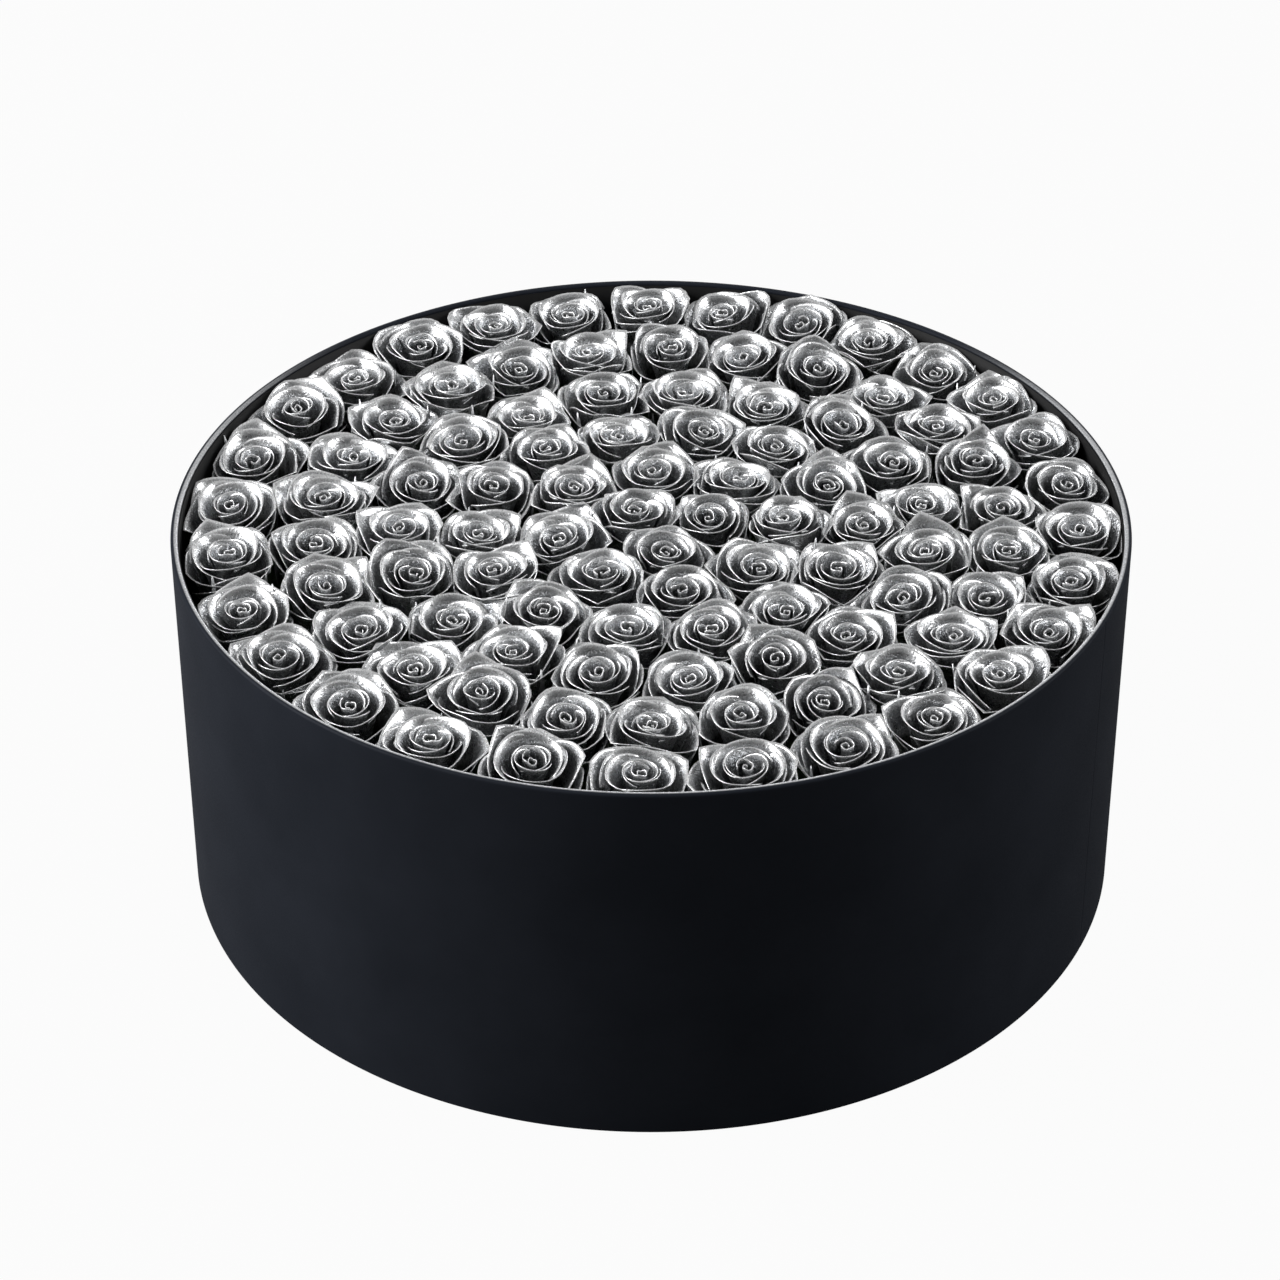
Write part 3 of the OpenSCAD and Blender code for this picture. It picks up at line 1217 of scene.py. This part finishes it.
@dataclass(frozen=True)
class Stem:
    """A cut stem, straight in the foam and slightly bowed above it, with a swelling at each leaf scar.

    Attributes:
        radius: of the stem.
        bow: how far its middle is bent sideways, above the foam.
        bite: how far it reaches into the hip.
        swelling: how much thicker it is at the leaf scar, as a share.
        cut_ends: radius of its two ends, as a share.
        rings: points along the stem.
        sides: points round it.
        seed: start of the random row.
    """

    radius: float = 2.25 * MM
    bow: float = 0.9 * MM
    bite: float = 1.0 * MM
    swelling: float = 0.12
    cut_ends: float = 0.85
    rings: int = 15
    sides: int = 10
    seed: int = 67

    def surface(self, bed: RoseBed, roses: Array, foam_top: float, hip_drop: float) -> Surface:
        """Builds the stems of some roses.

        The middle line is straight up to the foam's top. Above it a half sine and a parabola are
        added, so that it ends under the hip of the leaning head. The radius grows by an eighth in a
        narrow bell curve.

        Args:
            bed: the roses' places, sizes and characters.
            roses: numbers of the roses.
            foam_top: height of the foam's top.
            hip_drop: how far the hip reaches below the head.

        Returns:
            The stems.
        """
        draw = np.random.RandomState(self.seed)
        rough = draw.uniform(0, 1, (len(bed.radius), 4))[roses][:, :, None]
        t = np.linspace(0, 1, self.rings)[None, :]
        low, high = bed.stem_foot[roses][:, None], (bed.foot[roses] - hip_drop + self.bite)[:, None]
        z = low + (high - low) * t
        above = np.clip((z - foam_top) / (high - foam_top), 0, 1)
        shift = self.bow * np.sin(np.pi * above) * rough[:, 0]
        aim = 2 * np.pi * rough[:, 1]
        bowed = np.stack([shift * np.cos(aim), shift * np.sin(aim)], axis=-1)
        lever = -(hip_drop + LEAN_POINT * bed.height[roses])
        lean = (bed.who.lean[roses] * lever[:, None])[:, None, :] * (above**2)[..., None]
        swell = np.exp(-(((t - 0.62 - 0.1 * rough[:, 2]) / 0.03) ** 2)) * (above > 0)
        thick = self.radius * (1 + self.swelling * swell)
        thick[:, [0, -1]] *= self.cut_ends
        angle = np.linspace(0, 2 * np.pi, self.sides, endpoint=False)[None, None, :]
        points = round_points(thick[..., None], angle, z[..., None])
        points[..., :2] += (bed.centre[roses][:, None] + bowed + lean)[:, :, None]
        return capped_tubes(points)


@dataclass
class Roses:
    """Every rose of the arrangement: petals, hearts, calyxes and stems, one piece of each per ring.

    Attributes:
        bed: the roses' places, sizes and characters.
        finishes: the part's finishes.
        foam_top: height of the foam's top.
        hip_drop: how far a hip reaches below its head.
        layers: the layers of petals.
        heart: the furled heart.
        calyx: the green cup.
        stem: the stem.
    """

    bed: RoseBed
    finishes: Finishes
    foam_top: float
    hip_drop: float = 9 * MM
    layers: tuple[PetalLayer, ...] = (
        PetalLayer(
            Layer.OUTER, 5, GOLDEN_TURN, 1.40, (1.01, 0.86), (0.90, 1.005),
            ((0.30, 0.05), (0.80, 0.12), (0.66, 0.80), (1.0, 1.0)),
            1.0, 0.20, 0.34, 0.035, 0.02, (0.8 * MM, 0.40 * MM), 17,
            (0.0, 0.22, 0.45, 0.68, 0.86, 0.96, 1.0), 3,
        ),
        PetalLayer(
            Layer.MIDDLE, 3, THIRD_TURN, 1.90, (0.74, 0.71), (1.045, 1.025),
            ((0.30, 0.20), (0.66, 0.42), (0.56, 0.84), (1.0, 1.0)),
            0.55, 0.13, 0.06, 0.016, 0.12, (0.8 * MM, 0.40 * MM), 19,
            (0.0, 0.25, 0.5, 0.72, 0.88, 0.965, 1.0), 5,
        ),
        PetalLayer(
            Layer.INNER, 3, THIRD_TURN, 2.05, (0.43, 0.40), (1.02, 1.00),
            ((0.45, 0.40), (0.62, 0.60), (0.72, 0.86), (1.0, 1.0)),
            0.25, 0.08, 0.0, 0.012, 0.17, (0.7 * MM, 0.36 * MM), 19,
            (0.0, 0.3, 0.6, 0.85, 0.96, 1.0), 8,
        ),
    )
    heart: HeartStrip = HeartStrip()
    calyx: Calyx = Calyx()
    stem: Stem = Stem()

    def build(self) -> list[Object]:
        """Builds every piece, dresses it and sets it on the arrangement.

        Returns:
            The pieces.
        """
        finishes, pieces = self.finishes, []
        for number, ring in enumerate(Ring):
            roses = np.flatnonzero(self.bed.ring == number)
            for layer in self.layers:
                petals = layer.surface(self.bed, roses)
                part = f"{layer.layer.value}_petals"
                pieces.append(self.place(petals, ring, part, finishes.petal, "silver_petal"))
            hearts = self.heart.surface(self.bed, roses)
            pieces.append(self.place(hearts, ring, "hearts", finishes.heart, "silver_heart"))
            calyxes = self.calyx.surface(self.bed, roses)
            pieces.append(self.place(calyxes, ring, "calyxes", finishes.calyx, "calyx"))
            stems = self.stem.surface(self.bed, roses, self.foam_top, self.hip_drop)
            pieces.append(self.place(stems, ring, "stems", finishes.stem, "stem"))
        return pieces

    def place(self, surface: Surface, ring: Ring, part: str, finish: Material, slot: str) -> Object:
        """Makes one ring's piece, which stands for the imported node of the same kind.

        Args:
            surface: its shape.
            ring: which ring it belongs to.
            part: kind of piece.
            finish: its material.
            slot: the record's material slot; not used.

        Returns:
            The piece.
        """
        piece = surface.build(f"{part}_of_{ring.value}_ring", finish)
        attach(piece, ROSE_BODY)
        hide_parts(f"{ring.value}_ring_{part}")
        report(piece)
        return piece


# ---------------------------------------------------------------------------
# Box
# ---------------------------------------------------------------------------


def arc(middle: Pair, radius: float, start: float, stop: float, steps: int) -> Array:
    """Points on part of a circle.

    Args:
        middle: its centre.
        radius: its radius.
        start: first angle in degrees.
        stop: last angle in degrees.
        steps: number of points.

    Returns:
        (steps, 2).
    """
    a = np.radians(np.linspace(start, stop, steps))
    return np.stack([middle[0] + radius * np.cos(a), middle[1] + radius * np.sin(a)], axis=1)


def line(start: Pair, stop: Pair, steps: int) -> Array:
    """Evenly spaced points between two points, both ends included."""
    t = np.linspace(0, 1, steps)[:, None]
    return np.array(start) * (1 - t) + np.array(stop) * t


@dataclass
class PaperCover:
    """The covering and lining papers of the box, as smooth rounds.

    Attributes:
        finishes: the part's finishes.
        outer: outside radius of the wrap.
        rim: height of the rim.
        inner: radius of the turned-in paper.
        under: height of the paper under the base.
        lining: inside radius of the lining.
        lining_low: height of its lower edge.
        lining_high: height of its upper edge.
        turn_in: how far the wrap turns down inside.
        turn_under: how far it turns under the base.
        paper: thickness of the paper.
        rim_round: radius of the rim's two edges, outside the paper.
        foot_round: radius of the lower edge.
        seam: width of the seam.
        seam_dip: how far the paper is pressed in along it.
        dip_width: how far from the seam the dip fades.
        beside_seam: where the denser rows beside the seam lie.
        seam_turn: direction of the seam, in degrees.
        rim_highlight_depth: how far from the rim's inner edge the painted highlight line begins and is full.
        rim_highlight_drop: how far below the rim it begins and is full.
        rim_highlight_turn: sines of the direction where the painted highlight begins to fade and is gone,
            towards the back.
        steps: points once round the wall.
    """

    finishes: Finishes
    outer: float
    rim: float
    inner: float
    under: float
    lining: float
    lining_low: float
    lining_high: float
    turn_in: float = 18 * MM
    turn_under: float = 15 * MM
    paper: float = 0.35 * MM
    rim_round: float = 1.35 * MM
    foot_round: float = 0.5 * MM
    seam: float = 0.12 * MM
    seam_dip: float = 0.12 * MM
    dip_width: float = 0.6 * MM
    beside_seam: tuple[float, ...] = (0.0, 0.25 * MM, 0.5 * MM, 0.8 * MM, 1.2 * MM, 2.0 * MM)
    seam_turn: float = -24.4
    rim_highlight_depth: Pair = (-0.65 * MM, -0.35 * MM)
    rim_highlight_drop: Pair = (1.3 * MM, 0.8 * MM)
    rim_highlight_turn: Pair = (0.15, 0.75)
    steps: int = 480

    def wrap_line(self, inset: float) -> Array:
        """The wrap's profile from under the base, up the wall, over the rim and down inside.

        Args:
            inset: how far inside the paper's outer face the line runs.

        Returns:
            (n, 2) radius and height.
        """
        outside, inside, bottom = self.outer - inset, self.inner + inset, self.under + inset
        foot, top, clear = self.foot_round, self.rim_round, 0.2 * MM
        shoulder = self.rim - top
        return np.concatenate([
            line((self.outer - self.turn_under, bottom), (self.outer - foot - clear / 2, bottom), 4),
            arc((self.outer - foot, self.under + foot), foot - inset, -90, 0, 5),
            line((outside, self.under + foot + clear), (outside, shoulder - clear), 14),
            arc((self.outer - top, shoulder), top - inset, 0, 90, 8),
            arc((self.inner + top, shoulder), top - inset, 90, 180, 8),
            line((inside, shoulder - clear), (inside, self.rim - self.turn_in), 4),
        ])

    def build_wrap(self) -> Object:
        """Builds the wrap: its profile carried round from one side of the seam to the other.

        The paper is pressed in beside the seam by a bell curve. The painted highlight line on the rim is
        the product of three steps: by height, by distance from the inner edge and by direction, which fades
        it out towards the back.

        Returns:
            The wrap.
        """
        profile = self.wrap_line(self.paper / 2)
        half = self.seam / 2 / self.outer
        start = math.radians(self.seam_turn)
        near = np.array(self.beside_seam) / self.outer
        whole = np.linspace(near[-1] + half, 2 * np.pi - near[-1] - half, self.steps)[1:-1]
        turn = start + np.concatenate([half + near, whole, 2 * np.pi - half - near[::-1]])[:, None]
        beside = np.minimum(turn - start, start + 2 * np.pi - turn) * self.outer
        dip = self.seam_dip * np.exp(-((beside / self.dip_width) ** 2))
        r, z = profile[None, :, 0] - dip, profile[None, :, 1]
        # Painted highlight: a bright line along the rim's inner edge, faded out towards the back.
        over = step_up(z, self.rim - self.rim_highlight_drop[0], self.rim - self.rim_highlight_drop[1])
        inward = step_up(self.inner + self.rim_round - r, *self.rim_highlight_depth)
        painted_highlight_side = 1 - step_up(np.sin(turn), *self.rim_highlight_turn)
        uv = (turn * self.outer, z)
        surface = shell(round_points(r, turn, z)[None], self.paper, {"fold_wear_and_highlight": over * inward * painted_highlight_side}, uv)
        piece = surface.build("covering_of_wall", self.finishes.wrap)
        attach(piece, BOX_BODY)
        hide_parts("wall_wrap")
        report(piece)
        return piece

    def build_lining(self) -> Object:
        """Builds the lining: a band of paper turned round the inside of the wall.

        Returns:
            The lining.
        """
        low, high, face = self.lining_low, self.lining_high, self.lining
        back = face + self.paper
        profile = np.concatenate([line((face, high), (face, low), 12), line((back, low), (back, high), 12)])
        points, faces = revolve(profile, np.linspace(0, 2 * np.pi, self.steps, endpoint=False))
        fold_wear_and_highlight = step_up(points[:, 2], high - 0.3 * MM, high)
        surface = Surface(points, faces, {"fold_wear_and_highlight": fold_wear_and_highlight}, points[:, :2].copy())
        piece = surface.build("lining_of_wall", self.finishes.lining)
        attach(piece, BOX_BODY)
        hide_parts("wall_lining")
        report(piece)
        return piece


def dress_nodes(nodes: dict[str, Object], finishes: Finishes) -> None:
    """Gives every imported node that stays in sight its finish.

    Args:
        nodes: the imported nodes.
        finishes: the part's finishes.
    """
    table = {
        "wall_board": finishes.board,
        "base_board": finishes.board,
        "base_paper": finishes.wrap,
        "floor_paper": finishes.lining,
        "liner_tub": finishes.tub,
        "foam_bricks": finishes.foam,
    }
    for name, material in table.items():
        node = nodes[name]
        if not node.material_slots:
            node.data.materials.append(material)
        for slot in node.material_slots:
            slot.material = material
        report(node)


# ---------------------------------------------------------------------------
# Stage
# ---------------------------------------------------------------------------


@dataclass(frozen=True)
class SoftBox:
    """A studio light: a large bright panel.

    Attributes:
        name: its name.
        turn: direction it stands in, in degrees from +X.
        rise: how high it stands, in degrees above the box.
        far: distance from the box.
        size: width and height.
        power: in watts.
    """

    name: str
    turn: float
    rise: float
    far: float
    size: Pair
    power: float

    def hang(self, aim: Array) -> Object:
        """Puts the light in place, turned to the box.

        Args:
            aim: the point it faces.

        Returns:
            The light.
        """
        a, e = math.radians(self.turn), math.radians(self.rise)
        away = Vector((math.cos(a) * math.cos(e), math.sin(a) * math.cos(e), math.sin(e)))
        data = bpy.data.lights.new(self.name, "AREA")
        data.shape = "RECTANGLE"
        data.size, data.size_y = self.size
        data.energy = self.power
        lamp = bpy.data.objects.new(self.name, data)
        lamp.location = Vector(aim) + away * self.far
        lamp.rotation_euler = away.to_track_quat("Z", "Y").to_euler()
        bpy.context.scene.collection.objects.link(lamp)
        return lamp


@dataclass
class Studio:
    """Pale floor, soft lights, sky and camera.

    Attributes:
        height: of the box.
        radius: of the box.
        lights: the soft lights.
        floor_half: half the floor's side.
        floor_drop: how far the floor lies under the box.
        away: distance of the camera, in box radii.
        above: how high the camera looks from, in radians.
        lens: focal length in millimetres.
        shift: how far the picture is moved, as shares of its width.
    """

    height: float
    radius: float
    lights: tuple[SoftBox, ...] = (
        SoftBox("left panel", 186.0, 30.0, 2.6, (1.8, 1.8), 88.0),
        SoftBox("right panel", 4.0, 31.0, 3.0, (1.4, 1.5), 48.0),
        SoftBox("back panel", 75.0, 14.0, 3.2, (2.4, 0.5), 12.0),
    )
    floor_half: float = 14.0
    floor_drop: float = 0.2 * MM
    away: float = 8.2949
    above: float = 0.60533
    lens: float = 108.42
    shift: Pair = (-0.0087, 0.0285)

    def build(self) -> None:
        """Builds the floor, the lights, the sky and the camera."""
        self.build_floor()
        aim = np.array([0.0, 0.0, self.height / 2])
        for light in self.lights:
            light.hang(aim)
        self.build_sky()
        self.build_camera()
        settings = bpy.context.scene.view_settings
        settings.view_transform = "Standard"
        settings.look = "None"
        settings.exposure = 0.0
        settings.gamma = 1.0

    def build_floor(self) -> None:
        """A wide floor, near white and even to the camera, and dark to everything it could light."""
        around = np.array([(-1, -1, 0), (1, -1, 0), (1, 1, 0), (-1, 1, 0)]) * self.floor_half
        corners = around - np.array([0, 0, self.floor_drop])
        material, n, surface = fresh_material("pale floor")
        n.feed(surface, "Base Color", n.blend(n.noise(n.place(), 3.0, 3.0), grey(0.17), grey(0.19)))
        surface.inputs["Roughness"].default_value = 0.9
        surface.inputs["Specular IOR Level"].default_value = 0.1
        glow = n.add("ShaderNodeEmission", {"Color": grey(1.0), "Strength": 1.0})
        share = n.maths("MULTIPLY", n.add("ShaderNodeLightPath").outputs["Is Camera Ray"], 0.96)
        mixed = n.add("ShaderNodeMixShader", {0: share, 1: surface.outputs[0], 2: glow.outputs[0]})
        end = next(x for x in n.tree.nodes if x.type == "OUTPUT_MATERIAL")
        n.feed(end, "Surface", mixed.outputs[0])
        floor = Surface(corners, np.array([[0, 1, 2, 3]])).build("floor", material)

    def build_sky(self) -> None:
        """A dark room, lighter overhead and in a band behind the box, and white past the floor's edge."""
        world = bpy.data.worlds.new("studio")
        bpy.context.scene.world = world
        world.use_nodes = True
        world.node_tree.nodes.clear()
        n = Nodes(world.node_tree)
        way = n.add("ShaderNodeTexCoord").outputs["Generated"]
        parts = n.add("ShaderNodeSeparateXYZ", {0: way})
        behind = n.spread(parts.outputs["Y"], 0.1, 0.9)
        low = n.spread(parts.outputs["Z"], 0.35, 0.85, (1.0, 0.0))
        overhead = n.spread(parts.outputs["Z"], 0.3, 1.0, (0.0, 0.6))
        band = n.maths("MAXIMUM", n.maths("MULTIPLY", behind, low), overhead)
        seen = n.add("ShaderNodeLightPath").outputs["Is Camera Ray"]
        colour = n.blend(seen, n.blend(band, grey(0.015), grey(0.45)), grey(1.0))
        glow = n.add("ShaderNodeBackground", {"Color": colour, "Strength": 1.0})
        n.add("ShaderNodeOutputWorld", {"Surface": glow.outputs[0]})

    def build_camera(self) -> None:
        """A camera in front of the box, turned down to its middle."""
        away = self.away * self.radius
        data = bpy.data.cameras.new("camera")
        data.lens = self.lens
        data.sensor_width = 36.0
        data.shift_x, data.shift_y = self.shift
        camera = bpy.data.objects.new("camera", data)
        camera.location = (0.0, -away * math.cos(self.above), self.height / 2 + away * math.sin(self.above))
        camera.rotation_euler = (math.pi / 2 - self.above, 0.0, 0.0)
        bpy.context.scene.collection.objects.link(camera)
        bpy.context.scene.camera = camera


# ---------------------------------------------------------------------------


def report(piece: Object) -> None:
    """Writes a piece's name and size to the log."""
    LOG.info("%s: %d faces, %s", piece.name, len(piece.data.polygons), piece.data.materials[0].name)


def clear_stage() -> None:
    """Removes whatever an empty file starts with."""
    for leftover in list(bpy.data.objects):
        bpy.data.objects.remove(leftover)


def main() -> None:
    """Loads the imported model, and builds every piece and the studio."""
    logging.basicConfig(level=logging.INFO, format="%(message)s")
    clear_stage()
    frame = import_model()
    nodes = frame["nodes"]
    finishes = Finishes()
    dress_nodes(nodes, finishes)

    wrap_low, wrap_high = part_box("wall_wrap")
    lining_low, lining_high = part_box("wall_lining")
    foam_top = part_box("foam_bricks")[1].z
    outer, rim = wrap_high.x, wrap_high.z
    lining = outer - LINING_INSET
    cover = PaperCover(
        finishes=finishes,
        outer=outer,
        rim=rim,
        inner=outer - TURN_IN_INSET,
        under=wrap_low.z,
        lining=lining,
        lining_low=lining_low.z,
        lining_high=lining_high.z,
    )
    cover.build_wrap()
    cover.build_lining()

    bed = RoseBed.from_frame(nodes, lining - HEAD_GAP)
    LOG.info("%d roses", len(bed.radius))
    Roses(bed, finishes, foam_top).build()

    Studio(rim, outer).build()


if __name__ == "__main__":
    main()
